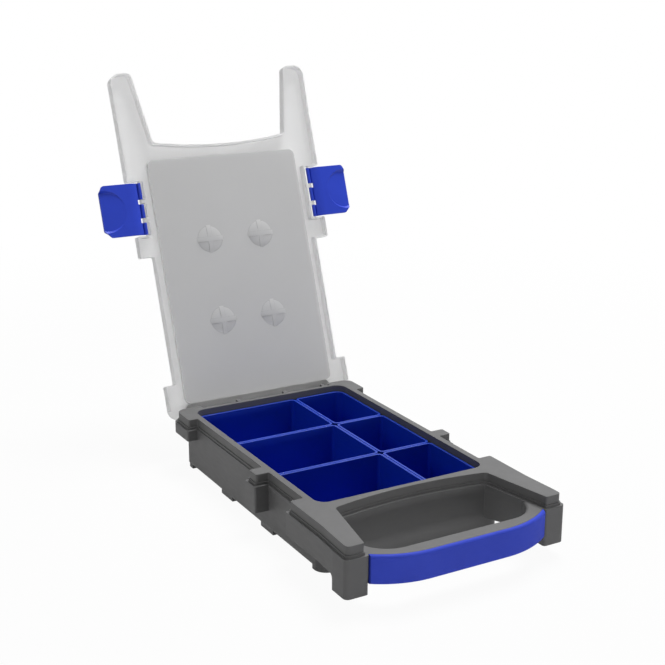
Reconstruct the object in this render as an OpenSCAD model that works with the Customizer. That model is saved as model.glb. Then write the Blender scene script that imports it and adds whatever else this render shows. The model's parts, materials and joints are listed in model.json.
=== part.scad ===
// Small-parts organiser case: tub with carry handle, six lift-out bins,
// clear hinged lid and two swinging latches. Millimetres, Z up, floor at zero.
// X runs along the handle, -Y is the handle side, +Y is the hinge side.
// The lid is drawn leaning back on its stop, with both latches swung out.

/* [View] */
// Piece to draw, or all of them

/* [Tub] */
// Clear width of the well
well_w = 190; // [160:1:220]
// Clear length of the well, handle side to hinge side
well_l = 289; // [260:1:320]
// Corner radius of the well
well_r = 12; // [11:1:16]
// Height of the rim above the ground
rim_h = 64; // [60:0.5:72]
// Thickness of the side walls at the rim
rim_side_t = 6.6; // [5:0.1:8]
// Thickness of the hinge side wall at the rim
rim_back_t = 4; // [3.5:0.1:5]
// Thickness of the handle side wall at its middle
rim_front_t = 5.7; // [4.5:0.1:8]
// How far the handle side wall bows toward the well
front_bow = 8.8; // [4:0.1:12]
// Rim top down to the ledge that the lid skirt closes on
ledge_drop = 8.6; // [8:0.1:10]
// Rim top down to the collar step
collar_drop = 11.4; // [11:0.1:13]
// How far the ledge steps out
ledge_out = 0.9; // [0.5:0.1:1.2]
// How far the walls step out below the collar
wall_out = 2; // [1.5:0.1:2.5]
// How far lugs, arms and handle side wall step out below the collar
lug_out = 3.3; // [2.5:0.1:4]
// Thickness of the floor
floor_t = 2.6; // [2:0.1:4]
// Vertical corner radius of the tub at the hinge side
back_corner_r = 10; // [6:1:12]
// Vertical corner radius of the tub at the handle side
front_corner_r = 13; // [8:1:16]
// Radius along the bottom edges
bottom_edge_r = 4; // [2:0.5:5]
// Wall left around the hollows that open downward
shell_t = 2.6; // [2:0.1:3.2]

/* [Feet] */
// Height of the feet
foot_h = 3; // [2:0.5:6]
// Width of the feet
foot_w = 8; // [5:0.5:12]
// Inset of the feet from the wall
foot_inset = 0.6; // [0.3:0.1:2]
// Length of each middle foot
foot_l = 27; // [15:1:40]
// Middle of each pair of middle feet, as a share of the well length
foot_shares = [0.1505, -0.1747];
// Length of the corner feet from the end walls
foot_corner_l = 17; // [12:1:30]

/* [Arms and handle] */
// How far the arms narrow the opening beside the well wall
arm_inset_rear = 8.7; // [4:0.1:14]
// How far the arms narrow the opening at their tips, from the rim
arm_inset_front = 0.8; // [0:0.1:6]
// Length of the arms beyond the well
arm_l = 91.7; // [80:0.1:110]
// How far lugs and arms stand out from the rim
lug_reach = 14.2; // [12:0.1:17]
// Extra reach of the arm tips
arm_flare = 2.4; // [0:0.1:3.5]
// Distance from the well to the start of the flare
flare_from = 40.5; // [35:0.5:50]
// Distance from the end of the flare to the arm tips
flare_to = 11.2; // [8:0.1:16]
// How far the arms overlap the sides of the well
arm_overlap = 19.1; // [15:0.1:24]
// Height of the underside of the arms
arm_bottom = 29; // [20:0.5:36]
// Height of the underside of the front posts
post_bottom = 14.5; // [8:0.5:24]
// Length of the front posts
post_l = 25.5; // [18:0.5:32]
// Radius of the outer corners of the arm tips at the rim
arm_tip_r = 4; // [2:0.5:6]
// Radius of the outer corners of the posts
post_r = 5; // [4:0.5:12]
// Radius between the posts and the underside of the arms
post_fillet_r = 4; // [2:0.5:6]
// Height of the lower edge of the arms' inner walls, at the tub
arm_wall_rear = 16; // [12:0.5:24]
// Height of the lower edge of the arms' inner walls, at the posts
arm_wall_front = 24.5; // [18:0.5:26]
// Height of the underside of the handle
handle_bottom = 24; // [18:0.5:32]
// Inner edge of the handle beyond the arm tips
handle_step = 1.3; // [1:0.1:2]
// Depth of the handle with its grip
handle_d = 20.3; // [18:0.1:24]
// Length of each curved end of the handle
handle_sweep_l = 55.5; // [45:0.5:65]
// Radius of the curved ends of the grip
handle_sweep_r = 95; // [85:1:105]
// Corner radius of the finger opening beside the handle
finger_corner_r = 32; // [20:1:34]
// Length of the handle's curved ends that its hollow leaves solid
handle_solid_l = 37.5; // [33:0.5:50]
// Radius along the inner top edge of the handle
handle_edge_r = 3.5; // [2:0.5:8]

/* [Grip] */
// Thickness of the soft grip
grip_t = 3.5; // [3:0.1:4]
// Radius along the edges of the soft grip
grip_edge_r = 3; // [1.5:0.1:3.4]
// Gap between the grip and the handle under it
grip_seat = 0.15; // [0.1:0.05:0.3]
// Gap between the grip's ends and the posts
grip_end_gap = 1; // [1:0.1:2]

/* [Side lugs] */
// Distance from the middle of the well to the rear face of the side lugs
lug_rear = 38.3; // [36:0.1:40]
// Length of the side lugs
lug_l = 15.5; // [13:0.1:16]
// Height of the underside of the side lugs
lug_bottom = 24.5; // [15:0.5:35]

/* [Hinge blocks] */
// Length of the hinge blocks along the rim
block_l = 28.9; // [26:0.1:32]
// How far the hinge blocks stand out behind the rim
block_back = 7.5; // [7:0.1:8]
// Width of the hinge blocks across the rear, inside the rim
block_w = 19.6; // [17:0.1:22]
// How far the hinge blocks stand out from the rim
block_reach = 10.4; // [9.5:0.1:11.5]
// Radius of the outer rear corners of the hinge blocks
block_r = 10; // [6:0.5:12]
// Height of the underside of the hinge blocks
block_bottom = 40.5; // [36:0.5:43]
// How far the hinge blocks step out at the rear below the collar
block_rear_out = 3; // [2:0.1:3.3]

/* [Hinge] */
// Hinge line behind the rim
hinge_back = 6.5; // [6.5:0.1:7]
// Hinge line below the rim top
hinge_drop = 12; // [11.8:0.1:12.2]
// Opening angle of the lid at its stop
open_angle = 109.7; // [95:0.1:112]
// Radius of the hinge barrels
barrel_r = 4.2; // [3.8:0.1:4.2]
// Diameter of the hinge pin
pin_d = 3; // [2:0.1:4]
// Length of the hinge pin inside each hinge block
pin_grip = 10; // [6:0.5:14]
// Running clearance around the pins, on the radius
pin_clear = 0.05; // [0.03:0.01:0.1]
// Thickness of the hinge ears
ear_t = 3.6; // [2.5:0.1:4.5]
// Where each hinge ear starts, as a share of the half width between the hinge blocks
ear_shares = [-0.4573, 0.2683, 0.8902];
// Gap beside each hinge ear
ear_gap = 0.5; // [0.3:0.1:1]
// Width of the stop heels under the hinge barrels
heel_w = 8; // [5:0.5:14]
// Where the stop heels sit, as a share of the half width between the hinge blocks
heel_share = 0.695; // [0.6:0.005:0.75]
// Gap between a stop heel and the tub at full opening
heel_gap = 0.3; // [0.2:0.1:0.5]
// How far the stop heels reach below the hinge line
heel_drop = 5.5; // [4:0.1:7]

/* [Bins] */
// Bin lips below the rim top
bin_drop = 7.2; // [7:0.1:14]
// Gap between the bin lips and the well
bin_side_gap = 0.8; // [0.5:0.1:1.5]
// Gap between neighbouring bin lips
bin_gap = 0.8; // [0.5:0.1:2]
// Gap under the bins
bin_seat = 0.3; // [0.2:0.1:0.5]
// Width of the wide column as a share of the well
wide_share = 0.6667; // [0.5:0.0001:0.75]
// Overhang of the bin lips
lip_w = 1.2; // [0.8:0.1:2]
// Height of the bin lips
lip_h = 2.2; // [1:0.1:4]
// Wall thickness of the bins
bin_t = 1.4; // [1:0.1:2]
// Corner radius of the bins away from the well corners
bin_r = 6; // [4:0.5:9]
// Radius along the bottom edges of the bins
bin_bottom_r = 4; // [2:0.5:4.5]

/* [Lid] */
// Thickness of the clear lid
lid_t = 2; // [1.6:0.1:2]
// Thickness of the top plate
lid_plate_t = 2.2; // [1.8:0.1:2.6]
// Gap between the rim top and the top plate
lid_gap = 0.3; // [0.2:0.1:0.5]
// Gap between the rim and the lid skirt
skirt_gap = 0.5; // [0.4:0.1:0.6]
// Gap between the ledge and the lower edge of the skirt
skirt_seat = 0.3; // [0.2:0.1:0.5]
// Skirt in front of the rim, at its middle
lid_front_gap = 4.5; // [4.5:0.1:7]
// How far the skirt in front bows
lid_bow = 6.8; // [6.8:0.1:8]
// How far the prongs stand inside the arms, beside the lid
prong_inset_rear = 2.3; // [2.3:0.1:3.5]
// How far the prongs stand inside the arms, at their tips
prong_inset_front = 2.8; // [2.5:0.1:4]
// How far the prongs reach past the arm tips
prong_over = 6.3; // [4.5:0.1:9]
// Prongs outside the arms, at their rear
prong_side = 6.7; // [5:0.1:7]
// Prongs outside the arm tips
prong_tip_side = 5; // [3.5:0.1:6]
// Rear edge of the prongs behind the arms
prong_back = 6.5; // [4:0.1:7]
// Radius of the outer corners of the prong tips
prong_r = 12; // [6:0.5:12]
// Radius of the inner corners of the prong tips
prong_inner_r = 6; // [3:0.5:8]
// Side tabs outside the lugs
tab_side = 4.6; // [4:0.1:6]
// Gap between the side tabs and the front face of the lugs
tab_gap = 0.6; // [0.5:0.1:1]
// Rear edge of the side tabs behind the lugs
tab_back = 6.4; // [4:0.1:8]
// Hinge tabs outside the hinge blocks
hinge_tab_side = 3.9; // [3:0.1:5]
// Front edge of the hinge tabs in front of the hinge blocks
hinge_tab_lead = 4.3; // [4:0.1:6]
// Radius of the rear corners of the hinge tabs
hinge_tab_r = 12; // [8:0.5:14]
// Radius of the small corners of the lid and the tub
small_r = 2; // [1:0.1:2.5]

/* [Lid panel] */
// Depth of the panel below the rim top
panel_drop = 4.5; // [4:0.1:6]
// Gap between the panel edge and the well sides
panel_gap = 0.8; // [0.6:0.1:2]
// Gap between the panel edge and the well at the handle side
panel_gap_front = 2.5; // [2.5:0.5:6]
// Gap between the panel edge and the well at the hinge side
panel_gap_back = 5.5; // [5.5:0.5:8]
// Corner radius of the panel
panel_r = 7; // [6.5:0.5:10]
// Radius of the round bosses pressed out of the panel
boss_r = 15.5; // [8:0.5:16]
// Height of the round bosses
boss_h = 2; // [1:0.1:4]
// Least gap between the bosses and the bin lips
boss_gap = 0.3; // [0.3:0.1:1]
// Round bosses from the middle across, as a share of the well width
boss_share_x = 0.171; // [0.1:0.001:0.35]
// Round bosses from their middle along, as a share of the well length
boss_share_y = 0.1644; // [0.1:0.001:0.3]
// Middle of the four bosses toward the hinge side
boss_lead = 2.5; // [0:0.5:6]
// Width of the cross on each boss
cross_w = 6; // [3:0.5:8]
// How far the cross stands out from the boss
cross_rise = 0.4; // [0.2:0.1:0.8]

/* [Latches] */
// Latch hinge line outside the rim
latch_out = 7.1; // [6.8:0.1:7.4]
// Latch hinge line below the rim top
latch_drop = 6; // [5.8:0.1:6.2]
// Radius of the latch barrels
latch_barrel_r = 2.1; // [1.8:0.1:2.1]
// Diameter of the latch pins
latch_pin_d = 2; // [1.5:0.1:2.4]
// Distance from the latch hinge line to the latch tip
latch_l = 48.9; // [40:0.1:50]
// Gap between the latches and the arms
latch_gap_front = 8.6; // [8:0.1:10]
// Gap between the latches and the side lugs
latch_gap_rear = 4; // [3.5:0.1:8]
// Thickness of the latches
latch_t = 2.4; // [2:0.1:2.4]
// How far the inner face of the latch plate lies toward the tub from the hinge line
latch_inset = 4; // [3.6:0.1:4.2]
// Width of the groove between the barrels and the plate
groove_w = 1.2; // [1:0.1:1.5]
// Thickness of the web over the groove
web_t = 1.6; // [1.4:0.1:2]
// Radius of the rolled face between the groove and the flat of the plate
roll_r = 25; // [23:0.5:26]
// Length of the rolled face
roll_l = 11.7; // [11.5:0.1:13]
// Width of the slots that take the lid lugs
latch_lug_gap = 5.4; // [4.6:0.1:7]
// Gap between the lid lugs and the ends of the slots
latch_slot_gap = 2.3; // [0.4:0.1:3]
// Middle of each lid lug, as a share of the latch length from its rear edge
latch_lug_shares = [0.278, 0.639];
// Thickness of the lid lugs
latch_lug_t = 4.4; // [3:0.1:4.5]
// Length of the cut at the front corner of the latch tip
latch_cut_front = 7.5; // [5:0.5:12]
// Length of the cut at the rear corner of the latch tip
latch_cut_rear = 7.5; // [5:0.5:14]
// Radius of the outer corners of the latches
latch_corner_r = 4; // [2:0.5:5]
// Radius of the thumb scoop at the latch tip
scoop_r = 24; // [16:0.5:25]
// Middle of the thumb scoop from the latch tip
scoop_back = 3.7; // [0:0.1:6]
// Depth of the thumb scoop at the latch tip
scoop_d = 3; // [1:0.1:3.5]
// How far the catch ledge stands out from the tub wall
catch_ledge = 1.8; // [1.5:0.1:1.9]
// Height of the catch ledge
catch_ledge_h = 2.6; // [1.5:0.1:2.6]

/* [Hidden] */
$fn = 96;
grey = [0.33, 0.34, 0.36];
soft_blue = [0.16, 0.22, 0.6];
bin_blue = [0.05, 0.08, 0.45];
latch_blue = [0.18, 0.26, 0.72];
clear_grey = [0.85, 0.87, 0.9, 0.5];
steel = [0.7, 0.7, 0.72];

// Overlap that joins or cuts cleanly
over = well_w / 190;
arc_steps = 14;
rim_x = well_w / 2 + rim_side_t;
rim_back = well_l / 2 + rim_back_t;
rim_front = well_l / 2 + rim_front_t;
lug_x = rim_x + lug_reach;
lug_front = lug_rear + lug_l;
block_x = rim_x + block_reach;
block_front = rim_back - block_l;
block_rear = rim_back + block_back;
block_gap = rim_x - block_w;
ledge_z = rim_h - ledge_drop;
collar_z = rim_h - collar_drop;
floor_z = foot_h + floor_t;
wall_x = rim_x + wall_out;
wall_back = rim_back + wall_out;
wall_front = rim_front + front_bow + lug_out;

// Arms, posts and handle
arm_gap_rear = well_w / 2 - arm_inset_rear;
arm_gap_front = rim_x - arm_inset_front;
arm_tip_x = lug_x + arm_flare;
arm_rear = well_l / 2 - arm_overlap;
arm_reach = well_l / 2 + arm_l;
flare_start = well_l / 2 + flare_from;
flare_end = arm_reach - flare_to;
post_y = arm_reach + lug_out;
post_x = arm_tip_x + lug_out;
handle_x = arm_gap_front - lug_out;
handle_inner = arm_reach + handle_step;
handle_outer = handle_inner + handle_d;
handle_flat = handle_x - handle_sweep_l;
grip_x = handle_x - grip_end_gap;
grip_sweep = asin((grip_x - handle_flat) / (handle_sweep_r - grip_t));

// Hinge
hinge_y = rim_back + hinge_back;
hinge_z = rim_h - hinge_drop;
pin_half_l = block_gap + pin_grip;
ear_x = [for (share = ear_shares) block_gap * share];
heel_x = block_gap * heel_share;

// Bins
bin_top = rim_h - bin_drop;
column_x = well_w * (wide_share - 0.5);
row_l = well_l / 3;

// Lid
lid_x = rim_x + skirt_gap + lid_t;
lid_back = rim_back + skirt_gap + lid_t;
lid_front = rim_front + lid_front_gap;
plate_z = rim_h + lid_gap;
lid_top = plate_z + lid_plate_t;
skirt_z = ledge_z + skirt_seat;
prong_gap_rear = arm_gap_rear - prong_inset_rear;
prong_gap_front = arm_gap_front - prong_inset_front;
prong_reach = arm_reach + prong_over;
prong_x = lug_x + prong_side;
prong_tip_x = arm_tip_x + prong_tip_side;
prong_rear = arm_rear - prong_back;
tab_x = lug_x + tab_side;
tab_front = lug_front + tab_gap + lid_t;
tab_rear = lug_rear - tab_back;
hinge_tab_x = block_x + hinge_tab_side;
hinge_tab_front = block_front - hinge_tab_lead;
skirt_end = block_rear - hinge_tab_r;
panel_z = rim_h - panel_drop;
panel_x = well_w / 2 - panel_gap;
panel_front = well_l / 2 - panel_gap_front;
panel_back = well_l / 2 - panel_gap_back;
boss_x = well_w * boss_share_x;
boss_y = well_l * boss_share_y;
boss_depth = min(boss_h, panel_z - cross_rise - boss_gap - bin_top);
boss_sphere_r = (boss_r * boss_r + boss_depth * boss_depth) / (2 * boss_depth);

// Latches
latch_x = rim_x + latch_out;
latch_z = rim_h - latch_drop;
latch_front = arm_rear - latch_gap_front;
latch_rear = lug_front + latch_gap_rear;
latch_lug_y = [for (share = latch_lug_shares) latch_rear + share * (latch_front - latch_rear)];
pin_hole = pin_d + 2 * pin_clear;
latch_pin_hole = latch_pin_d + 2 * pin_clear;

// The origin is the middle of the open case's footprint
lean = open_angle - 90;
open_back = hinge_y + (prong_reach + hinge_y) * sin(lean) + (lid_top - hinge_z) * cos(lean);
origin_y = (open_back - handle_outer) / 2;

function xy(p) = [p.x, p.y];
function unit(v) = v / norm(v);
// Both halves of an outline from the half with positive X
function both(p) = concat(p, [for (i = [len(p) - 1 : -1 : 0]) [-p[i].x, p[i].y, p[i].z]]);
// Points along a bowed edge, for positive X
function bow(half, mid, rise) = let (r = (half * half + rise * rise) / (2 * rise))
  [for (i = [1 : arc_steps - 1])
    let (x = half * (2 * i - 1) / (2 * arc_steps - 1)) [x, -mid - r + sqrt(r * r - x * x), 0]];
// Tangent points, centre and side of one rounded corner
function corner(p, i) = let (
    n = len(p),
    c = xy(p[i]),
    a = unit(xy(p[(i + n - 1) % n]) - c),
    b = unit(xy(p[(i + 1) % n]) - c),
    half = acos(a * b) / 2,
    t = p[i].z / tan(half)
  ) [c + a * t, c + b * t, c + unit(a + b) * p[i].z / sin(half), a.y * b.x - a.x * b.y > 0];

// Outline with a radius on each corner: points run anticlockwise as [x, y, radius]
module rounded(p) {
  turns = [for (i = [0 : len(p) - 1]) p[i].z > 0 ? corner(p, i) : [xy(p[i])]];
  points = [for (t = turns) each len(t) == 1 ? t : [t[0], t[1]]];
  difference() {
    union() {
      polygon(points);
      for (i = [0 : len(p) - 1])
        if (p[i].z > 0 && turns[i][3])
          translate(turns[i][2])
            circle(p[i].z);
    }
    for (i = [0 : len(p) - 1])
      if (p[i].z > 0 && !turns[i][3])
        translate(turns[i][2])
          circle(p[i].z);
  }
}

module slab(p, z0, z1) {
  translate([0, 0, z0])
    linear_extrude(z1 - z0)
      rounded(p);
}

module block(from, to) {
  translate(from)
    cube(to - from);
}

module placed() {
  translate([0, -origin_y, 0])
    children();
}

module mirrored() {
  children();
  mirror([1, 0, 0])
    children();
}

// Box between two corners of the plan with one corner radius
function box(x0, y0, x1, y1, r) = [[x0, y0, r], [x1, y0, r], [x1, y1, r], [x0, y1, r]];

// Rim outline; walls grow by w, lugs and arms by l
function rim_half(w, l) = concat(
  bow(arm_gap_rear - l, rim_front + l, front_bow),
  [[arm_gap_rear - l, -rim_front - front_bow - l, small_r * 3],
   [arm_gap_front - l, -arm_reach - l, small_r],
   [arm_tip_x + l, -arm_reach - l, arm_tip_r],
   [arm_tip_x + l, -flare_end, 0],
   [lug_x + l, -flare_start, 0],
   [lug_x + l, -arm_rear + l, small_r],
   [rim_x + w, -arm_rear + l, small_r],
   [rim_x + w, -lug_front - l, small_r],
   [lug_x + l, -lug_front - l, small_r],
   [lug_x + l, -lug_rear + l, small_r],
   [rim_x + w, -lug_rear + l, small_r],
   [rim_x + w, block_front - l, small_r],
   [block_x + l, block_front - l, small_r],
   [block_x + l, block_rear + l, block_r],
   [block_gap, block_rear + l, small_r],
   [block_gap, rim_back + w, 0]]);

function tub_half() = concat(
  bow(arm_gap_rear, rim_front + lug_out, front_bow),
  [[arm_gap_rear, -wall_front, 0],
   [wall_x, -wall_front, front_corner_r],
   [wall_x, wall_back, back_corner_r]]);

// Arm outline on the positive side, under the collar
function arm_side(inset) = [
  [arm_gap_rear - lug_out + inset, -rim_front - front_bow, 0],
  [arm_gap_front - lug_out + inset, -post_y + inset, small_r * 1.5],
  [post_x - inset, -post_y + inset, post_r - inset],
  [post_x - inset, -flare_end, 0],
  [lug_x + lug_out - inset, -flare_start, 0],
  [lug_x + lug_out - inset, -arm_rear + lug_out - inset, small_r],
  [arm_gap_rear - lug_out + inset, -arm_rear + lug_out - inset, 0]];

// Hollow of an arm, inside the rim outline
function arm_hollow() = [
  [arm_gap_rear + shell_t, -wall_front - shell_t, 0],
  [arm_gap_front + shell_t, -arm_reach + shell_t, small_r],
  [arm_tip_x - shell_t, -arm_reach + shell_t, small_r],
  [arm_tip_x - shell_t, -flare_end, 0],
  [lug_x - shell_t, -flare_start, 0],
  [lug_x - shell_t, -arm_rear - shell_t, small_r],
  [wall_x + shell_t, -arm_rear - shell_t, 0],
  [wall_x + shell_t, -wall_front - shell_t, 0]];

// Solid tub below the collar, rounded along its bottom edges
module tub_body() {
  z0 = foot_h;
  z1 = collar_z;
  intersection() {
    slab(both(tub_half()), z0, z1);
    translate([0, wall_back, 0])
      rotate([90, 0, 0])
        linear_extrude(wall_back + wall_front)
          rounded([[-wall_x, z0, bottom_edge_r], [wall_x, z0, bottom_edge_r],
            [wall_x, z1, 0], [-wall_x, z1, 0]]);
    translate([-wall_x, 0, 0])
      rotate([90, 0, 90])
        linear_extrude(2 * wall_x)
          rounded([[-wall_front, z0, bottom_edge_r], [wall_back, z0, bottom_edge_r],
            [wall_back, z1, 0], [-wall_front, z1, 0]]);
  }
}

module feet() {
  ring = foot_inset + foot_w;
  intersection() {
    difference() {
      slab(both([[wall_x - foot_inset, -wall_front + foot_inset, front_corner_r],
        [wall_x - foot_inset, wall_back - foot_inset, back_corner_r]]), 0, floor_z);
      slab(box(-wall_x + ring, -wall_front + ring, wall_x - ring, wall_back - ring, bottom_edge_r),
        -over, floor_z + over);
    }
    union()
      for (side = [-1, 1]) {
        for (y = well_l * foot_shares)
          block([side * wall_x - ring, y - foot_l / 2, 0], [side * wall_x + ring, y + foot_l / 2, floor_z]);
        for (y = [-wall_front, wall_back - foot_corner_l])
          block([side * wall_x - foot_corner_l, y, 0],
            [side * wall_x + foot_corner_l, y + foot_corner_l, floor_z]);
      }
  }
}

// Section between two faces at a right angle and the arc that touches both
module corner_section(r) {
  difference() {
    translate([-over, -r])
      square(r + over);
    translate([r, -r])
      circle(r);
  }
}

module handle_core() {
  core_y = handle_outer - grip_t - grip_seat;
  centre_y = handle_outer - handle_sweep_r;
  hollow_x = handle_x - handle_solid_l;
  core_r = handle_sweep_r - grip_t - grip_seat;
  opening = both([[handle_x - shell_t / 2, -handle_inner, finger_corner_r], [arm_gap_rear, -rim_front, 0]]);
  bend = corner(opening, 0)[2];
  difference() {
    translate([0, 0, handle_bottom])
      linear_extrude(collar_z - handle_bottom)
        difference() {
          translate([-handle_x - shell_t, -core_y])
            square([2 * handle_x + 2 * shell_t, core_y - handle_inner + finger_corner_r]);
          rounded(opening);
          for (side = [-1, 1])
            difference() {
              translate([side > 0 ? handle_flat : -handle_flat - core_r, -core_y - over])
                square([core_r, core_y + over - centre_y]);
              translate([side * handle_flat, -centre_y])
                circle(core_r);
            }
        }
    block([-hollow_x, -core_y + 2 * shell_t, handle_bottom - over],
      [hollow_x, -handle_inner - shell_t, collar_z - 2 * shell_t]);
    // Rounded inner top edge
    translate([-bend.x, -handle_inner, collar_z])
      rotate([90, 0, 90])
        linear_extrude(2 * bend.x)
          mirror([1, 0])
            corner_section(handle_edge_r);
    mirrored()
      translate([bend.x, bend.y, collar_z])
        rotate([0, 0, -90])
          rotate_extrude(angle = 90)
            translate([finger_corner_r, 0])
              corner_section(handle_edge_r);
  }
}

// Inner wall of an arm, reaching below its underside
module arm_wall() {
  rear = -rim_front - front_bow;
  front = -post_y + post_l - over;
  intersection() {
    slab([[arm_gap_rear - lug_out, rear, 0], [arm_gap_front - lug_out, -post_y, 0],
      [arm_gap_front - lug_out + shell_t, -post_y, 0], [arm_gap_rear - lug_out + shell_t, rear, 0]],
      arm_wall_rear - over, arm_bottom + over);
    rotate([90, 0, 90])
      linear_extrude(post_x)
        polygon([[rear, arm_wall_rear], [front, arm_wall_front], [front, arm_bottom + 2 * over],
          [rear, arm_bottom + 2 * over]]);
  }
}

// Rounded corner between a post and the underside of its arm
module post_fillet() {
  intersection() {
    slab(arm_side(0), arm_bottom - post_fillet_r - over, arm_bottom + over);
    translate([0, -post_y + post_l, arm_bottom])
      rotate([90, 0, 90])
        linear_extrude(post_x)
          corner_section(post_fillet_r);
  }
}

// Hinge ear, drawn along X
module ear(x) {
  translate([x, 0, 0])
    rotate([90, 0, 90])
      linear_extrude(ear_t) {
        rounded([[rim_back - over, block_bottom, 0], [wall_back, block_bottom, 0],
          [hinge_y + barrel_r, hinge_z - barrel_r, barrel_r - over],
          [hinge_y + barrel_r, hinge_z + barrel_r / 2, small_r],
          [block_rear, rim_h, 0], [rim_back - over, rim_h, 0]]);
        translate([hinge_y, hinge_z])
          circle(barrel_r);
      }
}

module hinge_bore(half) {
  translate([-half, hinge_y, hinge_z])
    rotate([0, 90, 0])
      cylinder(h = 2 * half, d = pin_hole);
}

module base_shell() {
  color(grey)
    placed()
    difference() {
      union() {
        slab(both(rim_half(0, 0)), ledge_z - over, rim_h);
        slab(both(rim_half(ledge_out, ledge_out)), collar_z - over, ledge_z);
        tub_body();
        feet();
        handle_core();
        mirrored() {
          slab(arm_side(0), arm_bottom, collar_z);
          arm_wall();
          post_fillet();
          slab([[arm_gap_front - lug_out, -post_y, small_r * 1.5], [post_x, -post_y, post_r],
            [post_x, -post_y + post_l, small_r], [arm_gap_front - lug_out, -post_y + post_l, small_r]],
            post_bottom, collar_z);
          slab([[rim_x - well_r, -lug_front - lug_out, 0],
            [lug_x + lug_out, -lug_front - lug_out, small_r],
            [lug_x + lug_out, -lug_rear + lug_out, small_r],
            [rim_x - well_r, -lug_rear + lug_out, 0]], lug_bottom, collar_z);
          slab([[rim_x - well_r, block_front - lug_out, 0],
            [block_x + lug_out, block_front - lug_out, small_r],
            [block_x + lug_out, block_rear + block_rear_out, block_r],
            [block_gap, block_rear + block_rear_out, small_r],
            [block_gap, rim_back, 0], [rim_x - well_r, rim_back, 0]], block_bottom, collar_z);
          // Catch ledge for the latch
          block([wall_x - over, -latch_front + catch_ledge, collar_z - catch_ledge_h],
            [wall_x + catch_ledge, -latch_rear - catch_ledge, collar_z]);
        }
        for (x = ear_x)
          ear(x);
      }
      slab(box(-well_w / 2, -well_l / 2, well_w / 2, well_l / 2, well_r), floor_z, rim_h + over);
      mirrored() {
        slab(arm_hollow(), arm_bottom - over, rim_h - shell_t);
        slab([[arm_gap_front, -post_y + shell_t, small_r],
          [post_x - shell_t, -post_y + shell_t, post_r - shell_t],
          [post_x - shell_t, -post_y + post_l - shell_t, small_r],
          [arm_gap_front, -post_y + post_l - shell_t, small_r]], post_bottom - over, collar_z - shell_t);
        block([wall_x + shell_t, -lug_front + shell_t, lug_bottom - over],
          [lug_x - shell_t, -lug_rear - shell_t, rim_h - shell_t]);
        block([wall_x + shell_t, block_front + shell_t, block_bottom - over],
          [block_x - shell_t / 2, hinge_y - 2 * barrel_r - pin_d, rim_h - shell_t]);
      }
      hinge_bore(pin_half_l + pin_clear);
    }
}

module grip_profile() {
  h = collar_z - handle_bottom;
  translate([0, handle_bottom])
    intersection() {
      rounded(box(-2 * grip_edge_r - grip_t, 0, 0, h, grip_edge_r));
      translate([-grip_t, 0])
        square([grip_t, h]);
    }
}

module handle_grip() {
  color(soft_blue)
    placed()
    intersection() {
      union() {
        translate([-handle_flat, -handle_outer, 0])
          rotate([90, 0, 90])
            linear_extrude(2 * handle_flat)
              mirror([1, 0])
                grip_profile();
        mirrored()
          translate([handle_flat, handle_sweep_r - handle_outer, 0])
            rotate([0, 0, -90])
              rotate_extrude(angle = grip_sweep)
                translate([handle_sweep_r, 0])
                  grip_profile();
      }
      block([-grip_x, -handle_outer - over, handle_bottom - over], [grip_x, -rim_front, collar_z + over]);
    }
}

module hinge_pin() {
  color(steel)
    placed()
    translate([-pin_half_l, hinge_y, hinge_z])
      rotate([0, 90, 0])
        cylinder(h = 2 * pin_half_l, d = pin_d);
}

// Tub with rounded bottom edges over a plan outline
module tray(p, x0, x1, y0, y1, z0, z1, r) {
  intersection() {
    slab(p, z0, z1);
    translate([0, y1, 0])
      rotate([90, 0, 0])
        linear_extrude(y1 - y0)
          rounded([[x0, z0, r], [x1, z0, r], [x1, z1, 0], [x0, z1, 0]]);
    translate([x0, 0, 0])
      rotate([90, 0, 90])
        linear_extrude(x1 - x0)
          rounded([[y0, z0, r], [y1, z0, r], [y1, z1, 0], [y0, z1, 0]]);
  }
}

// Bin in column 0 (wide) or 1 (narrow) and row 0 (handle side) to 2 (hinge side)
module bin(column, row) {
  x0 = column == 0 ? -well_w / 2 + bin_side_gap : column_x + bin_gap / 2;
  x1 = column == 0 ? column_x - bin_gap / 2 : well_w / 2 - bin_side_gap;
  y0 = -well_l / 2 + row * row_l + (row == 0 ? bin_side_gap : bin_gap / 2);
  y1 = -well_l / 2 + (row + 1) * row_l - (row == 2 ? bin_side_gap : bin_gap / 2);
  z0 = floor_z + bin_seat;
  big = well_r - bin_side_gap;
  r = [column == 0 && row == 0 ? big : bin_r, column == 1 && row == 0 ? big : bin_r,
    column == 1 && row == 2 ? big : bin_r, column == 0 && row == 2 ? big : bin_r];
  function plan(i) = [[x0 + i, y0 + i, r[0] - i], [x1 - i, y0 + i, r[1] - i],
    [x1 - i, y1 - i, r[2] - i], [x0 + i, y1 - i, r[3] - i]];
  inner = lip_w + bin_t;
  color(bin_blue)
    placed()
    difference() {
      union() {
        tray(plan(lip_w), x0 + lip_w, x1 - lip_w, y0 + lip_w, y1 - lip_w, z0, bin_top, bin_bottom_r);
        slab(plan(0), bin_top - lip_h, bin_top);
      }
      tray(plan(inner), x0 + inner, x1 - inner, y0 + inner, y1 - inner, z0 + bin_t, bin_top + over,
        bin_bottom_r - bin_t);
    }
}

module bin_wide_front() {
  bin(0, 0);
}

module bin_wide_middle() {
  bin(0, 1);
}

module bin_wide_rear() {
  bin(0, 2);
}

module bin_narrow_front() {
  bin(1, 0);
}

module bin_narrow_middle() {
  bin(1, 1);
}

module bin_narrow_rear() {
  bin(1, 2);
}

// Turns a closed piece about the hinge line
module turned(angle) {
  translate([0, hinge_y, hinge_z])
    rotate([angle, 0, 0])
      translate([0, -hinge_y, -hinge_z])
        children();
}

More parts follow.
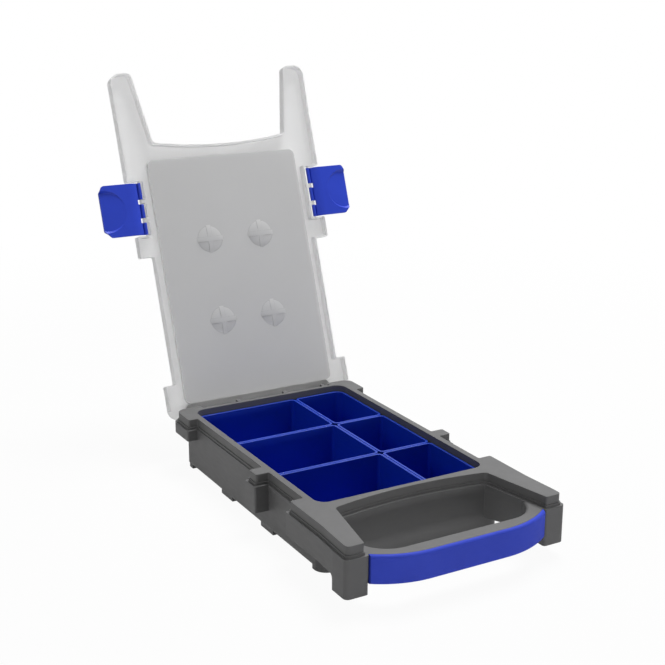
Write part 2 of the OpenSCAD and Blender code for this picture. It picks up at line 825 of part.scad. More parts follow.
// Lid outline, inset by i
function lid_half(i) = concat(
  bow(prong_gap_rear + i, lid_front - i, lid_bow),
  [[prong_gap_rear + i, -lid_front - lid_bow + i, small_r * 2 + i],
   [prong_gap_front + i, -prong_reach + i, prong_inner_r - i],
   [prong_tip_x - i, -prong_reach + i, prong_r - i],
   [prong_x - i, -flare_start, 0],
   [prong_x - i, -prong_rear - i, small_r],
   [lid_x - i, -prong_rear - i, small_r],
   [lid_x - i, -tab_front + i, small_r],
   [tab_x - i, -tab_front + i, small_r],
   [tab_x - i, -tab_rear - i, small_r],
   [lid_x - i, -tab_rear - i, small_r],
   [lid_x - i, hinge_tab_front + i, small_r],
   [hinge_tab_x - i, hinge_tab_front + i, small_r],
   [hinge_tab_x - i, hinge_y - i, hinge_tab_r - i],
   [block_gap - ear_gap + i, hinge_y - i, 0],
   [block_gap - ear_gap + i, lid_back - i, 0]]);

// Hinge barrel with its web to the skirt, from x0 to x1
module knuckle(x0, x1) {
  translate([x0, 0, 0])
    rotate([90, 0, 90])
      linear_extrude(x1 - x0) {
        translate([hinge_y, hinge_z])
          circle(barrel_r);
        polygon([[lid_back - lid_t / 2, skirt_z], [hinge_y - barrel_r * cos(20), hinge_z + barrel_r * sin(20)],
          [hinge_y, hinge_z], [hinge_y + barrel_r * cos(50), hinge_z + barrel_r * sin(50)],
          [lid_back, skirt_z + barrel_r * 1.5], [lid_back - lid_t, skirt_z + barrel_r * 1.5]]);
      }
}

module heel(x) {
  turned(open_angle)
    block([x - heel_w / 2, wall_back + heel_gap, hinge_z - heel_drop],
      [x + heel_w / 2, hinge_y, hinge_z - pin_d]);
}

// Ball whose lowest part is the face of a boss, moved out by t
module boss_ball(t) {
  translate([0, 0, panel_z - boss_depth + boss_sphere_r])
    sphere(boss_sphere_r + t);
}

// Round boss pressed toward the bins, with a raised cross
module boss() {
  low = panel_z - boss_depth - cross_rise - over;
  reach = boss_r + lid_t;
  intersection() {
    boss_ball(0);
    block([-reach, -reach, low], [reach, reach, panel_z + lid_t / 2]);
  }
  intersection() {
    boss_ball(cross_rise);
    for (a = [0, 90])
      rotate([0, 0, a])
        block([-reach, -cross_w / 2, low], [reach, cross_w / 2, panel_z + lid_t / 2]);
  }
}

// The four places of the bosses
module boss_places() {
  for (x = [-boss_x, boss_x], y = [-boss_y, boss_y])
    translate([x, y + boss_lead, 0])
      children();
}

module latch_lug(y) {
  translate([0, y + latch_lug_t / 2, 0])
    rotate([90, 0, 0])
      linear_extrude(latch_lug_t) {
        translate([latch_x, latch_z])
          circle(latch_barrel_r);
        translate([lid_x - lid_t / 2, latch_z - latch_barrel_r])
          square([latch_x - lid_x + lid_t / 2, 2 * latch_barrel_r]);
      }
}

module latch_bore() {
  translate([latch_x, -prong_rear - 2 * lid_t, latch_z])
    rotate([-90, 0, 0])
      cylinder(h = prong_rear - tab_front + 4 * lid_t, d = latch_pin_hole);
}

module lid_closed() {
  ends = concat([-block_gap], ear_x);
  difference() {
    union() {
      difference() {
        union() {
          slab(both(lid_half(0)), skirt_z, lid_top);
          slab(box(-panel_x, -panel_front, panel_x, panel_back, panel_r), panel_z, lid_top);
        }
        difference() {
          slab(both(lid_half(lid_t)), skirt_z - over, plate_z);
          slab(box(-panel_x, -panel_front, panel_x, panel_back, panel_r), panel_z - over, lid_top);
        }
        slab(box(-panel_x + lid_t, -panel_front + lid_t, panel_x - lid_t, panel_back - lid_t,
          panel_r - lid_t), panel_z + lid_t, lid_top + over);
        // The hinge blocks take the place of the skirt at the rear corners
        mirrored()
          block([block_gap - ear_gap, skirt_end, skirt_z - over], [hinge_tab_x + over, hinge_y + over, plate_z]);
        for (x = ear_x)
          block([x - ear_gap, lid_back - 2 * lid_t, skirt_z - over],
            [x + ear_t + ear_gap, lid_back + over, plate_z]);
      }
      boss_places()
        boss();
      for (i = [0 : len(ends) - 1])
        knuckle(i == 0 ? ends[0] + ear_gap : ends[i] + ear_t + ear_gap,
          (i == len(ends) - 1 ? block_gap : ends[i + 1]) - ear_gap);
      for (side = [-1, 1])
        heel(side * heel_x);
      mirrored()
        for (y = latch_lug_y)
          latch_lug(-y);
    }
    boss_places()
      boss_ball(-lid_t);
    hinge_bore(block_gap);
    mirrored()
      latch_bore();
  }
}

module lid() {
  color(clear_grey)
    placed()
    turned(-open_angle)
      lid_closed();
}

module latch_pin() {
  color(steel)
    placed()
    turned(-open_angle)
      translate([latch_x, -prong_rear - lid_t + skirt_gap, latch_z])
        rotate([-90, 0, 0])
          cylinder(h = prong_rear - tab_front + 2 * lid_t - 2 * skirt_gap, d = latch_pin_d);
}

module latch_pin_right() {
  latch_pin();
}

module latch_pin_left() {
  mirror([1, 0, 0])
    latch_pin();
}

// Section across the latch, from its hinge line: barrel, groove, rolled face and plate
module latch_section() {
  inner = -latch_inset;
  outer = latch_t - latch_inset;
  groove = latch_barrel_r + groove_w;
  flat = groove + roll_l;
  back_r = roll_r - latch_t;
  web = latch_barrel_r - web_t;
  circle(latch_barrel_r);
  polygon([[0, web], [groove, web], [groove, inner + roll_r - sqrt(back_r * back_r - roll_l * roll_l)],
    [latch_barrel_r, latch_barrel_r], [0, latch_barrel_r]]);
  intersection() {
    translate([flat, inner + roll_r])
      difference() {
        circle(roll_r);
        circle(back_r);
      }
    translate([groove - over / 10, inner])
      square([roll_l + over / 10, latch_inset + latch_barrel_r]);
  }
  rounded([[flat - over, inner, 0], [latch_l, inner, latch_t / 3], [latch_l, outer, latch_t / 3],
    [flat - over, outer, 0]]);
}

// Space of the thumb scoop, moved out by t
module scoop(t) {
  r = scoop_r + t * (sqrt(2) - 1) + over;
  face = t - latch_inset;
  h = 2 * scoop_d + 2 * over;
  intersection() {
    translate([latch_x + latch_l - scoop_back, -(latch_front + latch_rear) / 2, latch_z + face - over])
      cylinder(h = h, r1 = r, r2 = r - h);
    translate([latch_x, -latch_rear, latch_z])
      rotate([90, 0, 0])
        linear_extrude(latch_front - latch_rear)
          polygon([[latch_l - scoop_back - scoop_r, face - over], [latch_l + over, face - over],
            [latch_l + over, face + scoop_d], [latch_l - scoop_back - scoop_r, face]]);
  }
}

module latch() {
  tip = latch_x + latch_l;
  slot = latch_lug_gap / 2;
  low = latch_z - 2 * latch_inset;
  high = latch_z + 2 * latch_inset;
  color(latch_blue)
    placed()
    turned(-open_angle)
      difference() {
        intersection() {
          union() {
            translate([latch_x, -latch_rear, latch_z])
              rotate([90, 0, 0])
                linear_extrude(latch_front - latch_rear)
                  latch_section();
            scoop(latch_t);
          }
          slab([[latch_x - 2 * latch_barrel_r, -latch_front, 0],
            [tip - latch_cut_front / 2, -latch_front, latch_corner_r],
            [tip, -latch_front + latch_cut_front, latch_corner_r],
            [tip, -latch_rear - latch_cut_rear, latch_corner_r],
            [tip - latch_cut_rear, -latch_rear, latch_corner_r],
            [latch_x - 2 * latch_barrel_r, -latch_rear, 0]], low, high);
        }
        scoop(0);
        for (y = latch_lug_y)
          block([latch_x - 2 * latch_barrel_r, -y - slot, low],
            [latch_x + latch_barrel_r + latch_slot_gap, -y + slot, high]);
        latch_bore();
      }
}

module latch_right() {
  latch();
}

module latch_left() {
  mirror([1, 0, 0])
    latch();
}

base_shell();
handle_grip();
hinge_pin();
bin_wide_front();
bin_wide_middle();
bin_wide_rear();
bin_narrow_front();
bin_narrow_middle();
bin_narrow_rear();
lid();
latch_pin_left();
latch_pin_right();
latch_left();
latch_right();
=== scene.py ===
import json
import math
import bmesh
import bpy
from mathutils import Matrix, Vector


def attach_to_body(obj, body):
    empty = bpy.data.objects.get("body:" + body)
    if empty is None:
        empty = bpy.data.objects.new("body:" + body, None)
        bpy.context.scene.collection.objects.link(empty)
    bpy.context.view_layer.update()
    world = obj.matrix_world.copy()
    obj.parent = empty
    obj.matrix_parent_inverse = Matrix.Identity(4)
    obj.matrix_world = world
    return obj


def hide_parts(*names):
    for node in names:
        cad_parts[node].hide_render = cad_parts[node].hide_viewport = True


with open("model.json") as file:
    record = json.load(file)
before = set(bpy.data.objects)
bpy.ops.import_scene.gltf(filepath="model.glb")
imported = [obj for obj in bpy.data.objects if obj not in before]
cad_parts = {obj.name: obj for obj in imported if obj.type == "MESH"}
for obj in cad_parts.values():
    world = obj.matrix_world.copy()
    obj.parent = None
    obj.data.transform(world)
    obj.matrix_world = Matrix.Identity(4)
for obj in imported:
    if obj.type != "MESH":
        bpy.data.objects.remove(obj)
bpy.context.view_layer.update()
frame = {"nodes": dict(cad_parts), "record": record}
scene = bpy.context.scene
scene.view_settings.view_transform = "Standard"
mm = 0.001
print("case loaded:", len(frame["nodes"]), "nodes")

# Camera at the photograph's viewing angle
cameraView = {
    "sensor": 36, "lens": 69.98,                        # mm
    "place": (-634.7 * mm, -1139.4 * mm, 563.5 * mm),
    "yaw": -29.65,                                      # degrees round the case, from straight ahead
    "pitch": 16.632,                                    # degrees looking down
    "roll": 0.143,
}


def makeCamera(view):
    yaw, pitch, roll = (math.radians(view[key]) for key in ("yaw", "pitch", "roll"))
    back = Vector((math.sin(yaw) * math.cos(pitch), -math.cos(yaw) * math.cos(pitch), math.sin(pitch)))
    right = Vector((math.cos(yaw), math.sin(yaw), 0))
    up = back.cross(right)
    rolledRight = right * math.cos(roll) + up * math.sin(roll)
    rolledUp = up * math.cos(roll) - right * math.sin(roll)
    data = bpy.data.cameras.new("photoCamera")
    data.sensor_width = view["sensor"]
    data.lens = view["lens"]
    camera = bpy.data.objects.new("photoCamera", data)
    turn = Matrix((rolledRight, rolledUp, back)).transposed().to_4x4()
    camera.matrix_world = Matrix.Translation(view["place"]) @ turn
    scene.collection.objects.link(camera)
    scene.camera = camera


makeCamera(cameraView)


# A math node fed with numbers or sockets
def mathNode(tree, operation, *values):
    node = tree.nodes.new("ShaderNodeMath")
    node.operation = operation
    for slot, value in enumerate(values):
        if isinstance(value, (int, float)):
            node.inputs[slot].default_value = value
        else:
            tree.links.new(value, node.inputs[slot])
    return node.outputs[0]


def rangeNode(tree, value, fromLow, fromHigh, toLow, toHigh, kind="LINEAR"):
    node = tree.nodes.new("ShaderNodeMapRange")
    node.interpolation_type = kind
    names = ("From Min", "From Max", "To Min", "To Max")
    for name, number in zip(names, (fromLow, fromHigh, toLow, toHigh)):
        node.inputs[name].default_value = number
    tree.links.new(value, node.inputs["Value"])
    return node.outputs["Result"]


# The largest of the camera, glossy and transmission ray flags
def seenDirectly(tree):
    rays = tree.nodes.new("ShaderNodeLightPath").outputs
    flag = mathNode(tree, "MAXIMUM", rays["Is Camera Ray"], rays["Is Glossy Ray"])
    return mathNode(tree, "MAXIMUM", flag, rays["Is Transmission Ray"])


# Sends a mix of two shaders to the output node
def mixShaders(tree, factor, first, second, output):
    mix = tree.nodes.new("ShaderNodeMixShader")
    for slot, socket in enumerate((factor, first, second)):
        tree.links.new(socket, mix.inputs[slot])
    tree.links.new(mix.outputs[0], tree.nodes.new(output).inputs["Surface"])


studio = {                                              # sizes and places in metres, power in watts
    "worldStrength": 0.07,
    "whiteStrength": 1.0,                               # what the camera sees as plain white
    "aim": (0, 0, 0.10),
    "lamps": {                                          # place, width, height, power
        "keyLamp": ((0.65, 0.25, 2.0), 1.1, 1.1, 48.0),
        "sideLamp": ((-2.0, -0.35, 1.0), 1.2, 0.9, 5.0),
        "frontLamp": ((0.35, -2.2, 0.16), 1.6, 0.22, 8.0),
    },
    "floorSize": 24.0,
    "floorColour": (0.70, 0.70, 0.70, 1),
    "floorGlow": 0.95,                                  # share of plain white in what is seen near the case
    "glowNear": 0.5, "glowFar": 1.3,                    # distances between which the floor turns plain white
}


def areaLamp(name, place, width, height, power):
    data = bpy.data.lights.new(name, "AREA")
    data.shape = "ELLIPSE"
    data.size = width
    data.size_y = height
    data.energy = power
    lamp = bpy.data.objects.new(name, data)
    lamp.location = place
    lamp.rotation_euler = (Vector(studio["aim"]) - Vector(place)).to_track_quat("-Z", "Y").to_euler()
    scene.collection.objects.link(lamp)


def makeWorld():
    world = bpy.data.worlds.new("studioWorld")
    scene.world = world
    world.use_nodes = True
    tree = world.node_tree
    tree.nodes.clear()
    light, white = (tree.nodes.new("ShaderNodeBackground") for i in range(2))
    for shade, strength in ((light, studio["worldStrength"]), (white, studio["whiteStrength"])):
        shade.inputs["Color"].default_value = (1, 1, 1, 1)
        shade.inputs["Strength"].default_value = strength
    mixShaders(tree, seenDirectly(tree), light.outputs[0], white.outputs[0], "ShaderNodeOutputWorld")


def makeFloor():
    half = studio["floorSize"] / 2
    mesh = bpy.data.meshes.new("studioFloor")
    corners = [(-half, -half, 0), (half, -half, 0), (half, half, 0), (-half, half, 0)]
    mesh.from_pydata(corners, [], [(0, 1, 2, 3)])
    floor = bpy.data.objects.new("studioFloor", mesh)
    scene.collection.objects.link(floor)
    finish = bpy.data.materials.new("paperWhite")
    finish.use_nodes = True
    tree = finish.node_tree
    tree.nodes.clear()
    paper = tree.nodes.new("ShaderNodeBsdfDiffuse")
    paper.inputs["Color"].default_value = studio["floorColour"]
    glow = tree.nodes.new("ShaderNodeEmission")
    glow.inputs["Strength"].default_value = studio["whiteStrength"]
    coords = tree.nodes.new("ShaderNodeTexCoord")
    away = tree.nodes.new("ShaderNodeVectorMath")
    away.operation = "LENGTH"
    tree.links.new(coords.outputs["Object"], away.inputs[0])
    fade = rangeNode(tree, away.outputs["Value"], studio["glowNear"], studio["glowFar"],
                     studio["floorGlow"], 1.0, "SMOOTHSTEP")
    share = mathNode(tree, "MULTIPLY", seenDirectly(tree), fade)
    mixShaders(tree, share, paper.outputs[0], glow.outputs[0], "ShaderNodeOutputMaterial")
    mesh.materials.append(finish)


makeWorld()
makeFloor()
for lampName, lampForm in studio["lamps"].items():
    areaLamp(lampName, *lampForm)
print("camera and studio set")

noiseKinds = {                                          # detail and roughness of each pattern's noise
    "cloud": (4.0, 0.55), "scuff": (3.0, 0.7), "grain": (2.0, 0.6),
    "haze": (3.0, 0.5), "flow": (3.0, 0.6), "streak": (3.0, 0.6),
}
cloudSpan = (0.35, 0.65)                                # noise values that become 0 and 1
wideSpan = (0.3, 0.7)
edgeLook = {"samples": 4, "least": 0.98, "most": 0.75}  # cosines where the edge colour, a painted edge highlight or shade that is partly wear, starts and is full


# Noise of one kind on object coordinates, stretched by a scale along each axis
def noiseNode(tree, coords, kind, scale, stretch=(1, 1, 1)):
    mapping = tree.nodes.new("ShaderNodeMapping")
    mapping.inputs["Scale"].default_value = stretch
    noise = tree.nodes.new("ShaderNodeTexNoise")
    for name, number in zip(("Scale", "Detail", "Roughness"), (scale, *noiseKinds[kind])):
        noise.inputs[name].default_value = number
    tree.links.new(coords, mapping.inputs["Vector"])
    tree.links.new(mapping.outputs[0], noise.inputs["Vector"])
    return noise.outputs["Fac"]


def blendColour(tree, factor, first, second):
    node = tree.nodes.new("ShaderNodeMix")
    node.data_type = "RGBA"
    tree.links.new(factor, node.inputs[0])
    for slot, colour in ((6, first), (7, second)):      # the mix node's two colour sockets
        if isinstance(colour, tuple):
            node.inputs[slot].default_value = (*colour, 1)
        else:
            tree.links.new(colour, node.inputs[slot])
    return node.outputs[2]


# The normal rounded over the edges, and how much of an edge there is, from 0 to share; this share paints
# highlight or shade along the edges, and on the moulded finishes partly wear
def edgeNode(tree, radius, share):
    edge = tree.nodes.new("ShaderNodeBevel")
    edge.samples = edgeLook["samples"]
    edge.inputs["Radius"].default_value = radius
    geometry = tree.nodes.new("ShaderNodeNewGeometry")
    dot = tree.nodes.new("ShaderNodeVectorMath")
    dot.operation = "DOT_PRODUCT"
    tree.links.new(edge.outputs[0], dot.inputs[0])
    tree.links.new(geometry.outputs["Normal"], dot.inputs[1])
    edgeLightAndWear = rangeNode(tree, dot.outputs["Value"], edgeLook["least"], edgeLook["most"], 0, share)
    return edge.outputs[0], edgeLightAndWear


def bumpNode(tree, height, strength, distance, normal=None):
    bump = tree.nodes.new("ShaderNodeBump")
    bump.inputs["Strength"].default_value = strength
    bump.inputs["Distance"].default_value = distance
    tree.links.new(height, bump.inputs["Height"])
    if normal is not None:
        tree.links.new(normal, bump.inputs["Normal"])
    return bump.outputs[0]


# A new material, its node tree, its shader's inputs and the object coordinates
def newFinish(name):
    finish = bpy.data.materials.new(name)
    finish.use_nodes = True
    tree = finish.node_tree
    coords = tree.nodes.new("ShaderNodeTexCoord").outputs["Object"]
    return finish, tree, tree.nodes["Principled BSDF"].inputs, coords


# Moulded plastic: cloudy colour, pale edges that are painted highlight and partly wear, fine scuffs and a
# spark-eroded grain
def mouldedPlastic(name, look):
    finish, tree, shader, coords = newFinish(name)
    shader["IOR"].default_value = look["ior"]
    shader["Specular IOR Level"].default_value = look["specular"]
    cloud = rangeNode(tree, noiseNode(tree, coords, "cloud", look["cloudScale"]), *cloudSpan, 0, 1)
    rounded, edgeLightAndWear = edgeNode(tree, look["edgeRadius"], look["edgeShare"])
    colour = blendColour(tree, cloud, look["colour"], look["shade"])
    # pale edge colour: painted highlight along the rounded edges, partly wear
    tree.links.new(blendColour(tree, edgeLightAndWear, colour, look["edgeColour"]), shader["Base Color"])
    scuff = noiseNode(tree, coords, "scuff", look["scuffScale"], look["scuffStretch"])
    tree.links.new(rangeNode(tree, scuff, *wideSpan, *look["roughness"]), shader["Roughness"])
    grain = noiseNode(tree, coords, "grain", look["grainScale"])
    bump = bumpNode(tree, grain, look["grainStrength"], look["grainDepth"], rounded)
    tree.links.new(bump, shader["Normal"])
    return finish


# Clear moulding: tinted body that lets the light through, with faint flow marks and its edges painted
# lighter or darker as highlight or shade
def clearPlastic(name, look):
    finish, tree, shader, coords = newFinish(name)
    shader["IOR"].default_value = look["ior"]
    shader["Transmission Weight"].default_value = look["through"]
    haze = rangeNode(tree, noiseNode(tree, coords, "haze", look["cloudScale"]), *wideSpan, 0, 1)
    edge = edgeNode(tree, look["edgeRadius"], look["edgeShare"])[1]
    colour = blendColour(tree, haze, look["colour"], look["shade"])
    # edge colour: painted edge highlight, or painted shade where it is darker than the body
    tree.links.new(blendColour(tree, edge, colour, look["edgeColour"]), shader["Base Color"])
    flow = noiseNode(tree, coords, "flow", look["flowScale"], look["flowStretch"])
    tree.links.new(rangeNode(tree, flow, *wideSpan, *look["roughness"]), shader["Roughness"])
    tree.links.new(bumpNode(tree, flow, look["flowStrength"], look["flowDepth"]), shader["Normal"])
    return finish


# Bright steel with the streaks of drawing along it
def drawnSteel(name, look):
    finish, tree, shader, coords = newFinish(name)
    shader["Metallic"].default_value = 1.0
    streak = noiseNode(tree, coords, "streak", look["streakScale"], look["streakStretch"])
    tree.links.new(blendColour(tree, streak, look["colour"], look["shade"]), shader["Base Color"])
    tree.links.new(rangeNode(tree, streak, *wideSpan, *look["roughness"]), shader["Roughness"])
    tree.links.new(bumpNode(tree, streak, look["streakStrength"], look["streakDepth"]), shader["Normal"])
    return finish


# In these finishes edgeColour and edgeShare paint pale edges: painted highlight, partly wear
mouldedLook = {"ior": 1.49, "scuffStretch": (1, 1, 6)}
caseGrey = mouldedPlastic("caseGrey", {
    **mouldedLook, "colour": (0.133, 0.133, 0.134), "shade": (0.122, 0.122, 0.123),
    "edgeColour": (0.34, 0.34, 0.34), "edgeShare": 0.5, "edgeRadius": 0.8 * mm, "cloudScale": 14,
    "scuffScale": 60, "roughness": (0.50, 0.62), "specular": 0.35,
    "grainScale": 1500, "grainStrength": 0.35, "grainDepth": 0.05 * mm})
gripBlue = mouldedPlastic("gripBlue", {
    **mouldedLook, "colour": (0.038, 0.072, 0.620), "shade": (0.033, 0.063, 0.560),
    "edgeColour": (0.09, 0.13, 0.70), "edgeShare": 0.1, "edgeRadius": 0.6 * mm, "cloudScale": 18,
    "scuffScale": 90, "roughness": (0.62, 0.75), "specular": 0.3,
    "grainScale": 1100, "grainStrength": 0.5, "grainDepth": 0.08 * mm})
binBlue = mouldedPlastic("binBlue", {
    **mouldedLook, "colour": (0.0040, 0.044, 0.460), "shade": (0.0030, 0.038, 0.410),
    "edgeColour": (0.20, 0.24, 0.72), "edgeShare": 0.8, "edgeRadius": 0.5 * mm, "cloudScale": 12,
    "scuffScale": 70, "roughness": (0.38, 0.50), "specular": 0.3,
    "grainScale": 1700, "grainStrength": 0.25, "grainDepth": 0.04 * mm})
latchBlue = mouldedPlastic("latchBlue", {
    **mouldedLook, "colour": (0.016, 0.052, 0.570), "shade": (0.014, 0.047, 0.530),
    "edgeColour": (0.08, 0.13, 0.75), "edgeShare": 0.35, "edgeRadius": 0.5 * mm, "cloudScale": 25,
    "scuffScale": 110, "roughness": (0.34, 0.46), "specular": 0.4,
    "grainScale": 1900, "grainStrength": 0.2, "grainDepth": 0.03 * mm})

clearLook = {"ior": 1.45, "flowStretch": (1, 0.25, 1), "flowStrength": 0.15, "flowDepth": 0.2 * mm}
smokeLook = {
    **clearLook, "colour": (0.70, 0.70, 0.70), "shade": (0.67, 0.67, 0.67),
    "cloudScale": 6, "flowScale": 25, "roughness": (0.14, 0.24)}
# The panel's near-white edgeColour is a painted highlight line round its edges
smokePanel = clearPlastic("smokePanel", {
    **smokeLook, "through": 0.25,
    "edgeColour": (0.97, 0.97, 0.97), "edgeShare": 0.85, "edgeRadius": 1.1 * mm})
# The bosses' dark edgeColour is painted shade along the edges of the caps and crosses
bossClear = clearPlastic("bossClear", {
    **smokeLook, "through": 0.15,
    "edgeColour": (0.38, 0.38, 0.38), "edgeShare": 0.6, "edgeRadius": 0.5 * mm})
# The flange's paler edgeColour is a painted highlight along its edges
clearFlange = clearPlastic("clearFlange", {
    **clearLook, "colour": (0.88, 0.88, 0.88), "shade": (0.85, 0.85, 0.85), "through": 0.66,
    "edgeColour": (0.95, 0.95, 0.95), "edgeShare": 0.8, "edgeRadius": 0.8 * mm,
    "cloudScale": 8, "flowScale": 30, "roughness": (0.30, 0.42)})
pinSteel = drawnSteel("pinSteel", {
    "colour": (0.62, 0.62, 0.64), "shade": (0.50, 0.50, 0.52), "roughness": (0.25, 0.42),
    "streakScale": 300, "streakStretch": (0.1, 1, 1), "streakStrength": 0.2, "streakDepth": 0.02 * mm})
print("finishes mixed")

nodeBody = {node: body for body, nodes in frame["record"]["behaviour"]["bodies"].items() for node in nodes}
copying = {"merge": 0.003 * mm, "flatAngle": 0.4}       # distance of doubles, degrees between joined faces


# A merged copy of a CAD node, with its flat faces joined; sort gives each face the number of its finish
# and mark chooses sharp and bevelled edges
def looseCopy(node, name, sort=None, mark=None):
    source = bmesh.new()
    source.from_mesh(frame["nodes"][node].data)
    for face in source.faces:
        face.material_index = sort(face) if sort else 0
    for layer in list(source.loops.layers.float_vector):
        source.loops.layers.float_vector.remove(layer)
    bmesh.ops.remove_doubles(source, verts=source.verts, dist=copying["merge"])
    bmesh.ops.dissolve_limit(source, angle_limit=math.radians(copying["flatAngle"]), verts=source.verts,
                             edges=source.edges, delimit={"MATERIAL"})
    if mark:
        mark(source)
    mesh = bpy.data.meshes.new(name)
    source.to_mesh(mesh)
    source.free()
    piece = bpy.data.objects.new(name, mesh)
    scene.collection.objects.link(piece)
    return piece


# Swaps a piece's mesh for its evaluated one and clears the modifiers
def settle(piece):
    bpy.context.view_layer.update()
    graph = bpy.context.evaluated_depsgraph_get()
    mesh = bpy.data.meshes.new_from_object(piece.evaluated_get(graph))
    old = piece.data
    piece.modifiers.clear()
    piece.data = mesh
    mesh.name = piece.name
    bpy.data.meshes.remove(old)


# Rounds the edges that are marked, or that bend by more than the angle
def softenEdges(piece, width, marked=False, segments=2, angle=30):
    piece.data.polygons.foreach_set("use_smooth", [True] * len(piece.data.polygons))
    bevel = piece.modifiers.new("edges", "BEVEL")
    bevel.width = width
    bevel.segments = segments
    bevel.limit_method = "WEIGHT" if marked else "ANGLE"
    bevel.angle_limit = math.radians(angle)
    bevel.use_clamp_overlap = True
    bevel.miter_outer = "MITER_ARC"
    piece.modifiers.new("flatter", "WEIGHTED_NORMAL").keep_sharp = True
    settle(piece)


# Fills open rims and turns every face outward
def turnOutward(piece):
    form = bmesh.new()
    form.from_mesh(piece.data)
    rims = [edge for edge in form.edges if edge.is_boundary]
    bmesh.ops.holes_fill(form, edges=rims, sides=0)
    bmesh.ops.recalc_face_normals(form, faces=form.faces)
    form.to_mesh(piece.data)
    form.free()


def shadeByAngle(piece, angle=30):
    mesh = piece.data
    mesh.polygons.foreach_set("use_smooth", [True] * len(mesh.polygons))
    mesh.set_sharp_from_angle(angle=math.radians(angle))


# Hands a piece to the body of a node
def attach(piece, node):
    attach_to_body(piece, nodeBody[node])


def dressNode(node, name, finish, edgeWidth):
    piece = looseCopy(node, name)
    softenEdges(piece, edgeWidth)
    piece.data.materials.clear()
    piece.data.materials.append(finish)
    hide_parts(node)
    attach(piece, node)
    return piece


edgeWidths = {
    "tub": 0.8 * mm, "grip": 0.5 * mm, "latch": 0.35 * mm, "latchPin": 0.2 * mm, "hingePin": 0.3 * mm,
}
tub = dressNode("base_shell", "tubShell", caseGrey, edgeWidths["tub"])
dressNode("handle_grip", "softGrip", gripBlue, edgeWidths["grip"])
for side in ("left", "right"):
    dressNode("latch_" + side, side + "Latch", latchBlue, edgeWidths["latch"])
    dressNode("latch_pin_" + side, side + "LatchPin", pinSteel, edgeWidths["latchPin"])
dressNode("hinge_pin", "hingeRod", pinSteel, edgeWidths["hingePin"])
print("tub dressed:", len(tub.data.polygons), "faces; grip, latches and pins too")

frontLip = {
    "middle": -175.87 * mm, "bow": 8.8 * mm, "bowHalf": 86.6 * mm,      # arc of the wall behind the handle
    "half": 83 * mm, "thickness": 1.5 * mm, "bottom": 1.0 * mm, "top": 4.5 * mm, "steps": 28,
}


# Lip under the wall behind the handle, which narrows the strip of floor seen between them
def makeFrontLip(form):
    reach = (form["bowHalf"] ** 2 + form["bow"] ** 2) / (2 * form["bow"])
    low, high, back = form["bottom"], form["top"], form["thickness"]
    section = ((0, low), (0, high), (back, high), (back, low))
    corners = []
    for i in range(form["steps"] + 1):
        x = form["half"] * (2 * i / form["steps"] - 1)
        y = form["middle"] - reach + math.sqrt(reach ** 2 - x ** 2)
        corners += [(x, y + deep, z) for deep, z in section]
    faces = [tuple(4 * i + j for j in range(4)) for i in (0, form["steps"])]
    faces += [(4 * i + j, 4 * i + 4 + j, 4 * i + 4 + (j + 1) % 4, 4 * i + (j + 1) % 4)
              for i in range(form["steps"]) for j in range(4)]
    mesh = bpy.data.meshes.new("frontLip")
    mesh.from_pydata(corners, [], faces)
    mesh.materials.append(caseGrey)
    piece = bpy.data.objects.new("frontLip", mesh)
    scene.collection.objects.link(piece)
    turnOutward(piece)
    shadeByAngle(piece)
    attach(piece, "base_shell")


makeFrontLip(frontLip)

clearLid = {
    "edge": 0.35 * mm, "edgeBend": 30,                  # degrees from which an edge is rounded
    "panelHalf": 94.3 * mm, "panelFront": -164.6 * mm,  # the pressed panel, lid closed
    "panelBack": 116.7 * mm, "panelTop": 61.7 * mm,
    "bossHalf": 62 * mm, "bossFront": -95 * mm, "bossBack": 60 * mm,    # the part with the round bosses
    "bossBend": 8,                                      # degrees from which an edge there stays sharp
    "flatness": 0.5,                                    # least upward share of a panel face's normal
}
lidJoint = next(j for j in frame["record"]["behaviour"]["joints"] if j["name"] == "lid_hinge")
pivot = Vector(lidJoint["pos_m"])
shut = Matrix.Rotation(math.radians(lidJoint["range_deg"][0]), 3, Vector(lidJoint["axis"]))


def closedPlace(point):
    return shut @ (point - pivot) + pivot


def openPlace(point):
    return shut.inverted() @ (point - pivot) + pivot


# The lid is one moulding; its pressed panel is cloudier than the flange around it
def dressLid(look):
    def nearBoss(place):
        return abs(place.x) < look["bossHalf"] and look["bossFront"] < place.y < look["bossBack"]

    def finishNumber(face):
        place = closedPlace(face.calc_center_median())
        flat = abs((shut @ face.normal).z) > look["flatness"]
        within = abs(place.x) < look["panelHalf"] and look["panelFront"] < place.y
        return 1 if flat and within and (place.z < look["panelTop"] or place.y > look["panelBack"]) else 0

    def markEdges(form):
        weight = form.edges.layers.float.new("bevel_weight_edge")
        for edge in form.edges:
            boss = nearBoss(closedPlace((edge.verts[0].co + edge.verts[1].co) / 2))
            bend = math.degrees(edge.calc_face_angle(0))
            edge[weight] = 1.0 if bend > look["edgeBend"] and not boss else 0.0
            edge.smooth = not (boss and bend > look["bossBend"])

    piece = looseCopy("lid", "clearLid", finishNumber, markEdges)
    piece.data.materials.append(clearFlange)
    piece.data.materials.append(smokePanel)
    softenEdges(piece, look["edge"], marked=True)
    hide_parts("lid")
    attach(piece, "lid")
    print("lid dressed:", len(piece.data.polygons), "faces")


dressLid(clearLid)


# A geometry tree with named inputs, and the outputs of its input node
def startTree(name, sockets):
    tree = bpy.data.node_groups.new(name, "GeometryNodeTree")
    for socket, kind in sockets:
        tree.interface.new_socket(socket, in_out="INPUT", socket_type="NodeSocket" + kind)
    tree.interface.new_socket("Geometry", in_out="OUTPUT", socket_type="NodeSocketGeometry")
    return tree, tree.nodes.new("NodeGroupInput").outputs


